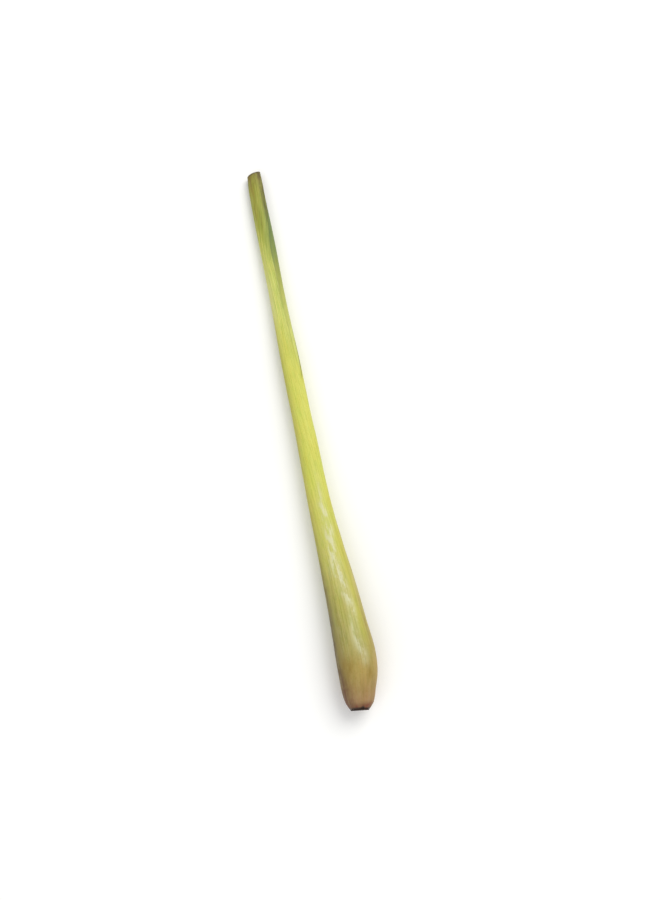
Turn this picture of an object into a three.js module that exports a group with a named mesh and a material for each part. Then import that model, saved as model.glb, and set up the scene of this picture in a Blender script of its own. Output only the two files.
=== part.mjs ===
// A trimmed lemongrass stalk, lying on its side: a short woody stem at the butt, and leaf sheaths
// and young leaves rolled round each other on it, up to the slanting cut at the tip.
// Millimetres and degrees, +Z up. The stalk runs along X, from its butt to its tip.
import * as THREE from 'three';
import { LoftGeometry } from 'three/addons/geometries/LoftGeometry.js';

const { clamp, degToRad, euclideanModulo, lerp, smoothstep } = THREE.MathUtils;

// Driving dimensions.
const LENGTH = 330;
const COLLAR = 1.2;          // length of the stem's collar at the butt
const STEM_END = 40;         // the stem tapers out this far inside the bulb
const TIP_SLANT = 13;        // the tip is cut this far from square, with its -Y side the longer
const TIP_REACH = 26;        // over this last stretch the sections lean round to the slanting cut
const BUTT_SLANT = 7;
const BUTT_REACH = 12;
const FIT = 0.3;             // clear space between one layer and the next
const MARGIN = 0.6;          // thickness of a sheath's free margin
const MARGIN_TAPER = 18;     // angle over which a sheath thins down to its margin
const MARGIN_PAST = 8;       // the free margin stays thin this much farther than it covers the other

// The outer sheath's free margin overlaps its other one, which sinks to pass under it.
const OVERLAP_SINK = 0.85;
const SINK_FROM = 324;       // counted back round the sheath from its free margin
const SINK_TO = 356;
const PARTED = 14;           // the covered margin is up again once the two stand this far apart
const NEST_DELAY = 16;       // each layer inside stays down until they stand this much farther apart
const NEST_REACH = [36, 70]; // the inner sheath's hollow under the overlap fades between these angles

// Where the outer sheath stands open the inner one swells up between its margins.
const EXPOSED_RISE = 0.45;
const RISE_OPENING = [30, 60];

const SLIT_AT = -30;         // where the inner sheath's own margins stand apart, hidden at the back
const SLIT_WIDTH = 26;
const ROLL_END = 320;        // angle through which the rolled leaf wraps before it joins the core
const ROLL_EDGE = -90;       // its free edge, counted from the outer sheath's

// A size as a smooth curve through [distance from the butt, size] pairs.
function along(pairs) {
  const distances = pairs.map(([distance]) => distance);
  const sizes = pairs.map(([, size]) => size);
  const curve = new THREE.CubicInterpolant(distances, sizes, 1);
  return (s) => curve.evaluate(clamp(s, distances[0], distances.at(-1)))[0];
}

// The plan outline: how far each side stands out from the line between the two cut centres.
const plusSide = along([
  [0, 4.8], [4, 6.65], [10, 7.65], [20, 7.85], [31, 7.65], [48, 7.0], [90, 6.4],
  [120, 6.3], [165, 5.75], [207, 5.8], [250, 5.1], [312, 5.2], [322, 4.95], [LENGTH, 4.2],
]);
const minusSide = along([
  [0, 5.2], [4, 8.75], [10, 11.3], [20, 14.4], [31, 15.35], [48, 13.9], [72, 11.9],
  [96, 9.2], [120, 7.2], [160, 6.3], [207, 5.5], [250, 4.75], [284, 5.15], [312, 4.75], [LENGTH, 4.2],
]);
// A section's height over its width, and its centre's height. The lowest skin is flattened at 0.
const flattening = along([[0, 0.98], [40, 0.94], [120, 0.9], [LENGTH, 0.8]]);
const centreHeight = along([[0, 10.1], [20, 10.25], [34, 10.15], [300, 4.08], [LENGTH, 3.28]]);
// A soft keel along the top towards the tip, as a share of the section's size.
const keel = along([[0, 0], [200, 0], [270, 0.035], [LENGTH, 0.06]]);
const KEEL_AT = 98;
const KEEL_SPREAD = 26;

// Angles round a section run from +Y (0) over the top (90) to -Y (180).
const freeMargin = along([
  [0, 200], [95, 198], [130, 188], [170, 165], [195, 146], [219, 128], [240, 121],
  [260, 110], [278, 105], [287, 113], [296, 127], [313, 153], [LENGTH, 166],
]);
// How far apart the outer sheath's margins stand. Below zero they overlap.
const opening = along([
  [0, -25], [170, -25], [182, -20], [200, 18], [220, 62],
  [245, 80], [280, 98], [300, 84], [LENGTH, 50],
]);
const outerThickness = along([
  [0, 0.9], [6, 1.6], [25, 2.3], [60, 1.6], [120, 1], [200, 0.85], [LENGTH, 0.7],
]);
const innerThickness = along([
  [8, 0.7], [16, 1.5], [28, 2.2], [60, 1.7], [120, 1], [200, 0.8], [LENGTH, 0.6],
]);
const rollThickness = along([[43, 1.6], [80, 1.3], [150, 0.9], [LENGTH, 0.6]]);
// How deep the stem lies under the outline past its collar.
const stemDepth = along([[COLLAR, 1.8], [4, 2.7], [10, 4.4], [20, 5.4], [30, 7.2], [STEM_END, 9.3]]);

// A point at distance s and the given angle, this deep under the stalk's outline.
function pointAt(s, angle, depth) {
  const halfWidth = (plusSide(s) + minusSide(s)) / 2;
  const halfHeight = halfWidth * flattening(s);
  const swell = 1 + keel(s) * Math.exp(-((apart(angle, KEEL_AT) / KEEL_SPREAD) ** 2));
  const across = (halfWidth * swell - depth) * Math.cos(degToRad(angle));
  const up = (halfHeight * swell - depth) * Math.sin(degToRad(angle));
  return new THREE.Vector3(
    s + across * lean(s),
    (plusSide(s) - minusSide(s)) / 2 + across,
    Math.max(centreHeight(s) + up, 0),
  );
}

// How far a section leans over to follow the slanting cuts at both ends.
function lean(s) {
  const atButt = Math.tan(degToRad(BUTT_SLANT)) * (1 - smoothstep(s, 0, BUTT_REACH));
  const atTip = Math.tan(degToRad(TIP_SLANT)) * smoothstep(s, LENGTH - TIP_REACH, LENGTH);
  return atButt - atTip;
}

// The smaller way round from one angle to another.
function apart(a, b) {
  return Math.abs(euclideanModulo(a - b + 180, 360) - 180);
}

function spread(from, to, count, crowding = 1) {
  return Array.from({ length: count }, (_, i) => lerp(from, to, (i / (count - 1)) ** crowding));
}

// 1 where the outer sheath's margins overlap, falling to 0 as they part.
function overlapping(s, delay) {
  return 1 - smoothstep(opening(s), delay, delay + PARTED);
}

// How deep the outer sheath's outside lies, this far back round from its free margin.
function outerDepth(s, turn) {
  return OVERLAP_SINK * overlapping(s, 0) * smoothstep(turn, SINK_FROM, SINK_TO);
}

// How much deeper a layer inside has to lie under the overlap.
function nestDepth(s, delay) {
  return Math.max(OVERLAP_SINK + MARGIN - outerThickness(s), 0) * overlapping(s, delay);
}

// How deep the inner sheath's outside lies.
function innerDepth(s, angle) {
  const fromMiddle = apart(angle, freeMargin(s) + opening(s) / 2);
  const nest = nestDepth(s, NEST_DELAY) * (1 - smoothstep(fromMiddle, ...NEST_REACH));
  const open = smoothstep(opening(s), ...RISE_OPENING);
  const rise = EXPOSED_RISE * open * (1 - smoothstep(fromMiddle, 0, Math.max(opening(s), 1) / 2));
  return outerThickness(s) + FIT + nest - rise;
}

// How deep the rolled leaf's outside lies.
function rollDepth(s) {
  return outerThickness(s) + innerThickness(s) + 2 * FIT + nestDepth(s, 2 * NEST_DELAY);
}

// A sheath's thickness this far round it. It thins to both its margins, and the free one stays thin
// as far as it lies over the other.
function sheathThickness(full, turn, wrap) {
  const covering = Math.max(wrap - 360 + MARGIN_PAST, 0);
  const fromFree = smoothstep(turn, covering, covering + MARGIN_TAPER);
  const fromCovered = smoothstep(wrap - turn, 0, MARGIN_TAPER);
  return MARGIN + Math.max(full - MARGIN, 0) * fromFree * fromCovered;
}

// A section runs round a layer's outside by growing angle, and back along its inside.
function outerSheathSection(s, count) {
  const margin = freeMargin(s);
  const wrap = 360 - opening(s);
  const round = spread(margin - wrap, margin, count);
  const outside = round.map((angle) => pointAt(s, angle, outerDepth(s, margin - angle)));
  const inside = round.reverse().map((angle) => {
    const body = sheathThickness(outerThickness(s), margin - angle, wrap);
    return pointAt(s, angle, Math.max(body, outerDepth(s, margin - angle) + MARGIN));
  });
  return [...outside, ...inside];
}

function innerSheathSection(s, count) {
  const wrap = 360 - SLIT_WIDTH;
  const start = SLIT_AT + SLIT_WIDTH / 2;
  const round = spread(start, start + wrap, count);
  const outside = round.map((angle) => pointAt(s, angle, innerDepth(s, angle)));
  const inside = round.reverse().map((angle) => {
    return pointAt(s, angle, innerDepth(s, angle) + sheathThickness(innerThickness(s), angle - start, wrap));
  });
  return [...outside, ...inside];
}

// The rolled leaf goes once round, in under its own free edge and on round the core.
function rolledLeavesSection(s, count) {
  const edge = freeMargin(s) + ROLL_EDGE;
  const thickness = rollThickness(s);
  const outside = spread(0, 360 + ROLL_END, 2 * count).map((turn) => {
    return pointAt(s, edge + turn, rollDepth(s) + (thickness + FIT) * smoothstep(turn, ROLL_END, 360));
  });
  const inside = spread(ROLL_END, 0, count).map((turn) => pointAt(s, edge + turn, rollDepth(s) + thickness));
  return [...outside, ...inside];
}

// The stem keeps the stalk's outline as far as its collar, and narrows inside the sheaths.
function stemSection(s, count) {
  const depth = s > COLLAR ? stemDepth(s) : 0;
  return spread(0, 360 - 360 / count, count).map((angle) => pointAt(s, angle, depth));
}

// One named mesh, lofted through the sections at the given distances and closed at both ends.
function layer(name, distances, section, count, color, roughness) {
  const sections = distances.map((s) => section(s, count));
  const geometry = new LoftGeometry(sections, { capStart: true, capEnd: true });
  const mesh = new THREE.Mesh(geometry, new THREE.MeshStandardMaterial({ color, roughness, metalness: 0 }));
  mesh.name = name;
  return mesh;
}

// Sections stand closest together at the butt, where the outline turns fastest.
const CROWDING = 1.35;
const STEM_STATIONS = [0, COLLAR / 2, COLLAR, COLLAR + 0.1, 4, 8, 13, 20, 27, 34, STEM_END];
const stalk = new THREE.Group();
stalk.add(
  layer('stem_base', STEM_STATIONS, stemSection, 32, 0xa8895f, 0.7),
  layer('outer_sheath', spread(COLLAR + 0.4, LENGTH, 42, CROWDING), outerSheathSection, 35, 0xcfcf74, 0.5),
  layer('inner_sheath', spread(8, LENGTH - 0.4, 26, CROWDING), innerSheathSection, 25, 0x9fae66, 0.5),
  layer('rolled_leaves', spread(43, LENGTH - 0.8, 18, CROWDING), rolledLeavesSection, 19, 0xb9c27c, 0.6),
);

// The origin is the middle of the bounding box, on the surface that the stalk lies on.
const box = new THREE.Box3().setFromObject(stalk);
const middle = box.getCenter(new THREE.Vector3());
stalk.position.set(-middle.x, -middle.y, -box.min.z);

export default stalk;
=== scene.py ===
"""A trimmed lemongrass stalk, lying on a pale table.

The stalk is a false stem. A short woody stem stands at the butt, two leaf sheaths are rolled round it
and each other, and young leaves are rolled tight inside them up to the slanting cut at the tip.
The shape code works in millimetres: s is the distance from the butt, and an angle runs round a
section from the stalk's left (+Y, 0) over its top (90) to its right (-Y, 180). Meshes are in metres.
"""

import logging
from dataclasses import dataclass, field
from enum import Enum

import bpy
import numpy as np
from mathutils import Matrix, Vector


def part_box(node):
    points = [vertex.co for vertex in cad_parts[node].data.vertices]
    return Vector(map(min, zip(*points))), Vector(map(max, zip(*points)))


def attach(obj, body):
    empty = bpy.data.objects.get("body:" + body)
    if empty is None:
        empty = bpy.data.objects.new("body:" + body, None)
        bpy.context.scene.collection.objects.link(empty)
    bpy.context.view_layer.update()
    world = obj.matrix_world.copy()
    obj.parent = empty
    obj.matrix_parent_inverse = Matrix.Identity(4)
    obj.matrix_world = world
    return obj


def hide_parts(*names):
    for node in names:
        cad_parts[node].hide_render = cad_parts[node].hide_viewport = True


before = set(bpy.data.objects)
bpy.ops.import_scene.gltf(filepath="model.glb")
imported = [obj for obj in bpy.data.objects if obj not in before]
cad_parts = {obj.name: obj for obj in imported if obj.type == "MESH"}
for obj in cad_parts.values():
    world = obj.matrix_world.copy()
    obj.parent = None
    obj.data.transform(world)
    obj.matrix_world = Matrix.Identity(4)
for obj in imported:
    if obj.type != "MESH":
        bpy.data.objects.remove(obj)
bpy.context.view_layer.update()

log = logging.getLogger("lemongrass")

MM = 0.001
Span = tuple[float, float]
Colour = tuple[float, float, float]
Place = tuple[float, float, float]
Socket = bpy.types.NodeSocket
Sockets = bpy.types.bpy_prop_collection


class Body(Enum):
    """The bodies that pieces ride on."""

    ROOT = "root"


class Slot(Enum):
    """The record's material slots."""

    WOODY_STEM = "woody_stem"
    OUTER_SHEATH = "outer_sheath"
    INNER_SHEATH = "inner_sheath"
    YOUNG_LEAF = "young_leaf"


# Curves and waves ----------------------------------------------------------------------------


def ease(value: np.ndarray, low: float, high: float) -> np.ndarray:
    """Rises smoothly from 0 at low to 1 at high.

    With t the share of the way from low to high, held between 0 and 1, it is 3t squared less 2t cubed.

    Args:
        value: The numbers to ease.
        low: Where the rise starts.
        high: Where it ends.

    Returns:
        Numbers from 0 to 1.
    """
    t = np.clip((np.asarray(value, float) - low) / (high - low), 0.0, 1.0)
    return t * t * (3 - 2 * t)


def bell(distance: np.ndarray, width: float) -> np.ndarray:
    """A bell curve of the distance: 1 at 0, and a bit over a third at one width."""
    return np.exp(-((distance / width) ** 2))


def apart(a: np.ndarray, b: np.ndarray) -> np.ndarray:
    """The smaller way round from one angle to another, in degrees."""
    return np.abs(np.mod(a - b + 180, 360) - 180)


def there_and_back(out: int, back: int) -> np.ndarray:
    """A row that runs evenly from 0 to 1 and then back to 0, with so many numbers each way."""
    return np.concatenate((np.linspace(0, 1, out), np.linspace(1, 0, back)))[None, :]


def runs(start: float, ends: tuple[tuple[float, int], ...]) -> np.ndarray:
    """Numbers in runs of even steps, each run starting where the one before it ends.

    Args:
        start: The first number.
        ends: Where each run ends, and how many numbers it has, both its ends included.

    Returns:
        A column of all the numbers, each once.
    """
    lows = (start, *(end for end, _ in ends))
    parts = [low + (end - low) * np.linspace(0, 1, count) for low, (end, count) in zip(lows, ends)]
    return np.concatenate((parts[0], *(part[1:] for part in parts[1:])))[:, None]


@dataclass(frozen=True)
class Wave:
    """A smooth random surface from about -1 to 1.

    It is the sum of cosines in random directions and phases, divided by the root of their number.

    Attributes:
        along: The shortest wave's length along the first coordinate.
        count: How many cosines are added.
        seed: Makes the draw the same each time.
        across: The shortest wave's length along the second coordinate.
    """

    along: float
    count: int
    seed: int
    across: float = 1.0

    def __call__(self, x: np.ndarray, y: np.ndarray | float = 0.0) -> np.ndarray:
        """The sum at each point.

        Args:
            x: First coordinate.
            y: Second coordinate, which broadcasts with the first.

        Returns:
            The surface's heights.
        """
        rng = np.random.default_rng(self.seed)
        along = rng.uniform(-1, 1, self.count) / self.along
        across = rng.uniform(-1, 1, self.count) / self.across
        phase = rng.uniform(0, 2 * np.pi, self.count)
        total = sum(np.cos(2 * np.pi * (a * x + b * y) + p) for a, b, p in zip(along, across, phase))
        return total / np.sqrt(self.count)


@dataclass(frozen=True)
class Along:
    """A size that changes smoothly along the stalk.

    Attributes:
        pairs: (distance from the butt, size) pairs that the curve passes through.
    """

    pairs: tuple[Span, ...]

    def __call__(self, s: np.ndarray) -> np.ndarray:
        """The size at each distance.

        Between two pairs it is the cubic with their sizes and slopes at its ends, and a pair's slope
        is the mean of the slopes of the straight lines to its neighbours.

        Args:
            s: Distances from the butt.

        Returns:
            Sizes, held level past the first and last pair.
        """
        at, size = np.array(self.pairs, float).T
        line = np.diff(size) / np.diff(at)
        slope = np.concatenate((line[:1], (line[1:] + line[:-1]) / 2, line[-1:]))
        s = np.clip(s, at[0], at[-1])
        i = np.clip(np.searchsorted(at, s, side="right") - 1, 0, len(at) - 2)
        step = at[i + 1] - at[i]
        t = (s - at[i]) / step
        start = (1 + 2 * t) * (1 - t) ** 2 * size[i] + t * (1 - t) ** 2 * step * slope[i]
        end = t**2 * (3 - 2 * t) * size[i + 1] - t**2 * (1 - t) * step * slope[i + 1]
        return start + end


@dataclass(frozen=True)
class Steps:
    """A number that goes up and down along the stalk in eased steps.

    Attributes:
        base: Its value at the butt.
        steps: Each step's height, and the distances from the butt where it starts and ends.
    """

    base: float
    steps: tuple[tuple[float, float, float], ...]

    def __call__(self, s: np.ndarray) -> np.ndarray:
        """The base and, for each step, its height times its ease."""
        return sum((height * ease(s, low, high) for height, low, high in self.steps), self.base)


# The stalk's outline -------------------------------------------------------------------------


@dataclass(frozen=True)
class Outline:
    """The whole stalk's outer form, which every layer lies under.

    Attributes:
        length: From the butt to the tip.
        plus_side: How far the left side stands out from the line between the two cut centres.
        minus_side: The same for the right side, which carries the swelling of the bulb.
        flattening: A section's height over its width.
        centre_height: Height of a section's centre above the table.
        keel: A soft ridge along the top towards the tip, as a share of the section's size.
        keel_at: Angle of that ridge.
        keel_spread: How far it reaches to either side, in degrees.
        butt_slant: How far the butt is cut from square, in degrees.
        tip_slant: The same for the tip.
        butt_reach: The sections lean over to the butt's cut within this distance of it.
        tip_reach: The same for the tip.
        bulb: The bulb is widest between these distances from the butt.
        bulb_steps: How many places there are tried for its width.
    """

    length: float = 330.0
    plus_side: Along = Along((
        (0, 4.8), (4, 6.65), (10, 7.65), (20, 7.85), (31, 7.65), (48, 7.0), (90, 6.4),
        (120, 6.3), (165, 5.75), (207, 5.8), (250, 5.1), (312, 5.2), (322, 4.95), (330, 4.2),
    ))
    minus_side: Along = Along((
        (0, 5.2), (4, 8.75), (10, 11.3), (20, 14.4), (31, 15.35), (48, 13.9), (72, 11.9),
        (96, 9.2), (120, 7.2), (160, 6.3), (207, 5.5), (250, 4.75), (284, 5.15), (312, 4.75), (330, 4.2),
    ))
    flattening: Along = Along(((0, 0.98), (40, 0.94), (120, 0.9), (330, 0.8)))
    centre_height: Along = Along(((0, 10.1), (20, 10.25), (34, 10.15), (300, 4.08), (330, 3.28)))
    keel: Along = Along(((0, 0), (200, 0), (270, 0.035), (330, 0.06)))
    keel_at: float = 98.0
    keel_spread: float = 26.0
    butt_slant: float = 7.0
    tip_slant: float = 13.0
    butt_reach: float = 12.0
    tip_reach: float = 26.0
    bulb: Span = (10.0, 60.0)
    bulb_steps: int = 201

    def half_width(self, s: np.ndarray) -> np.ndarray:
        """Half a section's width."""
        return (self.plus_side(s) + self.minus_side(s)) / 2

    def half_height(self, s: np.ndarray) -> np.ndarray:
        """Half a section's height."""
        return self.half_width(s) * self.flattening(s)

    def lean(self, s: np.ndarray) -> np.ndarray:
        """How far a point moves along the stalk for each millimetre it stands off to the left.

        It is the tangent of each cut's slant, eased in towards that cut.

        Args:
            s: Distances from the butt.

        Returns:
            Millimetres to the millimetre.
        """
        at_butt = np.tan(np.radians(self.butt_slant)) * (1 - ease(s, 0, self.butt_reach))
        at_tip = np.tan(np.radians(self.tip_slant)) * ease(s, self.length - self.tip_reach, self.length)
        return at_butt - at_tip

    def origin(self) -> np.ndarray:
        """Where the butt's centre stands in the frame, worked out from its solids.

        Along the stalk it is the stem's lowest corner, less what the butt's slant adds. Across it, it is
        the middle of the outer sheath's box, moved by half of what one side is wider than the other.

        Returns:
            The place in millimetres.
        """
        stem_low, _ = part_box("stem_base")
        low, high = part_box("outer_sheath")
        reach = float(self.minus_side(0.0)) * np.tan(np.radians(self.butt_slant))
        bulb = np.linspace(*self.bulb, self.bulb_steps)
        wider = float(np.max(self.minus_side(bulb)) - np.max(self.plus_side(bulb)))
        return np.array([stem_low[0] / MM + reach, (low[1] + high[1]) / MM / 2 + wider / 2, 0.0])

    def point(self, s: np.ndarray, angle: np.ndarray, depth: np.ndarray) -> np.ndarray:
        """Points under the outline.

        A section is an ellipse whose two half axes both lose the depth. Its keel swells it by a bell
        curve of the angle. Skin that would reach below the table is flattened on to it.

        Args:
            s: Distances from the butt.
            angle: Angles round the section.
            depth: How deep each point lies.

        Returns:
            An array of points in millimetres, in the frame.
        """
        s, angle, depth = np.broadcast_arrays(s, angle, depth)
        swell = 1 + self.keel(s) * bell(apart(angle, self.keel_at), self.keel_spread)
        across = (self.half_width(s) * swell - depth) * np.cos(np.radians(angle))
        up = (self.half_height(s) * swell - depth) * np.sin(np.radians(angle))
        x = s + across * self.lean(s)
        y = (self.plus_side(s) - self.minus_side(s)) / 2 + across
        z = np.maximum(self.centre_height(s) + up, 0.0)
        return np.stack((x, y, z), axis=-1) + self.origin()


@dataclass(frozen=True)
class Margins:
    """The outer sheath's two free margins, which overlap low down and part towards the tip.

    Attributes:
        free: Angle of the margin that lies on top.
        opening: How far round the two stand apart, below zero where they overlap.
        sink: How deep the covered margin lies under the other.
        sink_turn: The sheath sinks between these turns back round from its top margin.
        parted: The covered margin is up again once the opening has grown by this much.
    """

    free: Along = Along((
        (0, 200), (95, 198), (130, 188), (170, 165), (195, 146), (219, 128), (240, 121),
        (260, 110), (278, 105), (287, 113), (296, 127), (313, 153), (330, 166),
    ))
    opening: Along = Along((
        (0, -25), (170, -25), (182, -20), (200, 18), (220, 62),
        (245, 80), (280, 98), (300, 84), (330, 50),
    ))
    sink: float = 0.42
    sink_turn: Span = (318.0, 354.0)
    parted: float = 14.0

    def overlapping(self, s: np.ndarray, delay: float = 0.0) -> np.ndarray:
        """1 where the margins overlap, falling to 0 as they part."""
        return 1 - ease(self.opening(s), delay, delay + self.parted)

    def middle(self, s: np.ndarray) -> np.ndarray:
        """The angle halfway between the two margins."""
        return self.free(s) + self.opening(s) / 2

    def wrap(self, s: np.ndarray) -> np.ndarray:
        """The angle from the top margin back round the sheath to the covered one."""
        return 360 - self.opening(s)


# Meshes --------------------------------------------------------------------------------------


@dataclass
class Shell:
    """Rows of points, each row running once round a layer's closed section.

    Attributes:
        points: Points in millimetres, rows by columns by three.
        grain: Distance from the butt and place round the layer, both in millimetres, for each point.
        inward: 0 on the outside of the layer and 1 on its inside.
        outside: How many columns run along the outside. The rest run back along the inside.
    """

    points: np.ndarray
    grain: np.ndarray
    inward: np.ndarray
    outside: int


def zip_strip(outside: np.ndarray, inside: np.ndarray) -> np.ndarray:
    """Triangles that close the end of a thin strip.

    The two edges are walked together by their share of the way along, and each step forward on one of
    them makes a triangle with the point reached on the other.

    Args:
        outside: Vertex numbers along the outer edge.
        inside: Vertex numbers along the inner edge, in the same direction.

    Returns:
        Vertex numbers, three to a triangle.
    """
    n, m = len(outside) - 1, len(inside) - 1
    share = np.concatenate(((np.arange(n) + 0.5) / n, (np.arange(m) + 0.5) / m))
    on_outside = np.concatenate((np.ones(n, bool), np.zeros(m, bool)))[np.argsort(share, kind="stable")]
    o = np.cumsum(on_outside) - on_outside
    i = np.cumsum(~on_outside) - ~on_outside
    forward = np.stack((outside[np.minimum(o, n)], outside[np.minimum(o + 1, n)], inside[i]), axis=1)
    back = np.stack((inside[np.minimum(i + 1, m)], inside[i], outside[o]), axis=1)
    return np.where(on_outside[:, None], forward, back)


def quads(rows: int, columns: int) -> np.ndarray:
    """The faces of a grid whose columns close into a ring.

    Args:
        rows: How many rows of points it has.
        columns: How many points a row has.

    Returns:
        Vertex numbers, four to a face.
    """
    row, column = np.meshgrid(np.arange(rows - 1), np.arange(columns), indexing="ij")
    a = row * columns + column
    b = row * columns + (column + 1) % columns
    return np.stack((a, b, b + columns, a + columns), axis=-1).reshape(-1, 4)


def make_object(name: str, points: np.ndarray, faces: list[np.ndarray], grain: np.ndarray,
                values: dict[str, np.ndarray], crease: float = 38.0) -> bpy.types.Object:
    """Puts vertices and faces into a smooth mesh object at the origin.

    Args:
        name: The object's name.
        points: Vertices in millimetres.
        faces: Arrays of vertex numbers, one row to a face.
        grain: The UV place of each vertex, in millimetres.
        values: A number for each vertex, under the name that the materials read.
        crease: Edges that turn by more than this many degrees stay sharp.

    Returns:
        The new object.
    """
    mesh = bpy.data.meshes.new(name)
    mesh.from_pydata((points * MM).tolist(), [], [tuple(row) for block in faces for row in block.tolist()])
    corner = np.empty(len(mesh.loops), dtype=np.int32)
    mesh.loops.foreach_get("vertex_index", corner)
    uv = mesh.uv_layers.new(name="grain")
    uv.data.foreach_set("uv", (grain[corner] * MM).astype(np.float32).ravel())
    for key, value in values.items():
        mesh.attributes.new(key, "FLOAT", "POINT").data.foreach_set("value", value.astype(np.float32))
    mesh.polygons.foreach_set("use_smooth", np.ones(len(mesh.polygons), dtype=bool))
    mesh.set_sharp_from_angle(angle=np.radians(crease))
    mesh.update()
    made = bpy.data.objects.new(name, mesh)
    bpy.context.scene.collection.objects.link(made)
    return made


def shell_object(name: str, shell: Shell, values: dict[str, np.ndarray]) -> bpy.types.Object:
    """Makes a closed object from a shell, with both its ends zipped shut.

    Args:
        name: The object's name.
        shell: Its rows of points.
        values: A number for each of them, under the name that the materials read.

    Returns:
        The new object.
    """
    rows, columns = shell.points.shape[:2]
    first = np.arange(columns)
    end = zip_strip(first[: shell.outside], first[: shell.outside - 1 : -1])
    flat = {key: value.ravel() for key, value in {"inward": shell.inward, **values}.items()}
    faces = [quads(rows, columns), end[:, ::-1], end + (rows - 1) * columns]
    return make_object(name, shell.points.reshape(-1, 3), faces, shell.grain.reshape(-1, 2), flat)


# Node trees ----------------------------------------------------------------------------------


def paint(red: float, green: float, blue: float) -> tuple[float, float, float, float]:
    """A display colour as the linear colour that a shader takes.

    Args:
        red: From 0 to 255.
        green: From 0 to 255.
        blue: From 0 to 255.

    Returns:
        Red, green, blue and an alpha of 1, from 0 to 1.
    """
    share = np.array((red, green, blue)) / 255
    linear = np.where(share <= 0.04045, share / 12.92, ((share + 0.055) / 1.055) ** 2.4)
    return (*linear.tolist(), 1.0)


class Wiring:
    """Adds nodes to one node tree and joins them."""

    def __init__(self, tree: bpy.types.NodeTree) -> None:
        """Starts on the tree."""
        self.tree = tree

    def feed(self, socket: Socket, value: object) -> None:
        """Links a socket into another, or sets a plain value on it.

        Args:
            socket: The input.
            value: The output to link into it, or its plain value.
        """
        if isinstance(value, bpy.types.NodeSocket):
            self.tree.links.new(value, socket)
        else:
            socket.default_value = value

    def node(self, kind: str, inputs: dict | None = None, **settings: object) -> bpy.types.Node:
        """Adds a node.

        Args:
            kind: The node's type, without its ShaderNode prefix.
            inputs: Socket name or number, and the value or socket that feeds it.
            settings: The node's own properties.

        Returns:
            The node.
        """
        made = self.tree.nodes.new(f"ShaderNode{kind}")
        for key, value in settings.items():
            setattr(made, key, value)
        for key, value in (inputs or {}).items():
            self.feed(made.inputs[key], value)
        return made

    def math(self, operation: str, *values: object) -> Socket:
        """The result of a Math node."""
        return self.node("Math", dict(enumerate(values)), operation=operation).outputs[0]

    def plus(self, a: object, b: object) -> Socket:
        """The sum of two numbers."""
        return self.math("ADD", a, b)

    def times(self, a: object, b: object, more: object = None) -> Socket:
        """The product of two numbers, with a third added to it where one is given."""
        return self.math("MULTIPLY", a, b) if more is None else self.math("MULTIPLY_ADD", a, b, more)

    def along(self, grain: Socket) -> Socket:
        """The distance from the butt, in metres, which is the grain map's first number."""
        return self.node("SeparateXYZ", {0: grain}).outputs[0]

    def grain(self) -> Socket:
        """The grain map, in metres along the leaf and across it."""
        return self.node("UVMap", uv_map="grain").outputs[0]

    def attribute(self, name: str) -> Socket:
        """A number that the mesh carries."""
        return self.node("Attribute", attribute_name=name).outputs["Fac"]

    def rise(self, value: object, low: object, high: object) -> Socket:
        """0 at low, easing to 1 at high, also where low is the larger."""
        inputs = {"Value": value, "From Min": low, "From Max": high}
        return self.node("MapRange", inputs, interpolation_type="SMOOTHSTEP").outputs[0]

    def noise(self, vector: Socket, scale: float, detail: float, roughness: float = 0.55) -> Socket:
        """A noise texture's value."""
        inputs = {"Vector": vector, "Scale": scale, "Detail": detail, "Roughness": roughness}
        return self.node("TexNoise", inputs).outputs[0]

    def bump(self, height: Socket, strength: float, distance: float) -> Socket:
        """A normal that a height tilts."""
        inputs = {"Strength": strength, "Distance": distance, "Height": height}
        return self.node("Bump", inputs).outputs[0]

    def mix(self, factor: object, base: object, top: object, mode: str = "MIX") -> Socket:
        """A colour mixed towards another."""
        inputs = {0: factor, 6: base, 7: top}
        return self.node("Mix", inputs, data_type="RGBA", blend_type=mode).outputs[2]

    def ramp(self, factor: object, stops: tuple[tuple[float, Colour], ...]) -> Socket:
        """A colour that changes through stops.

        Args:
            factor: Where on the ramp it is, from 0 to 1.
            stops: Each stop's place on the ramp and its display colour.

        Returns:
            The colour.
        """
        made = self.node("ValToRGB", {0: factor})
        elements = made.color_ramp.elements
        for _ in range(len(stops) - 2):
            elements.new(0.5)
        for element, (place, _) in zip(elements, stops):
            element.position = place
        for element, (_, colour) in zip(elements, stops):
            element.color = paint(*colour)
        return made.outputs[0]

    def group(self, tree: bpy.types.NodeTree, inputs: dict[str, object]) -> bpy.types.Node:
        """Places a node group and feeds its inputs."""
        return self.node("Group", inputs, node_tree=tree)


@dataclass(frozen=True)
class Fleck:
    """A noise on the grain map, drawn out along the leaf.

    Attributes:
        along: How many cells it has to the metre along the leaf.
        across: The same across it.
        detail: How many octaves it has.
        roughness: How strong each octave is next to the one before.
    """

    along: float
    across: float
    detail: float = 2.0
    roughness: float = 0.55

    def lay(self, wiring: Wiring, grain: Socket) -> Socket:
        """The noise's value at each place on the grain map."""
        cells = (self.along, self.across, 1.0)
        drawn_out = wiring.node("VectorMath", {0: grain, 1: cells}, operation="MULTIPLY").outputs[0]
        return wiring.noise(drawn_out, 1.0, self.detail, self.roughness)


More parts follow.
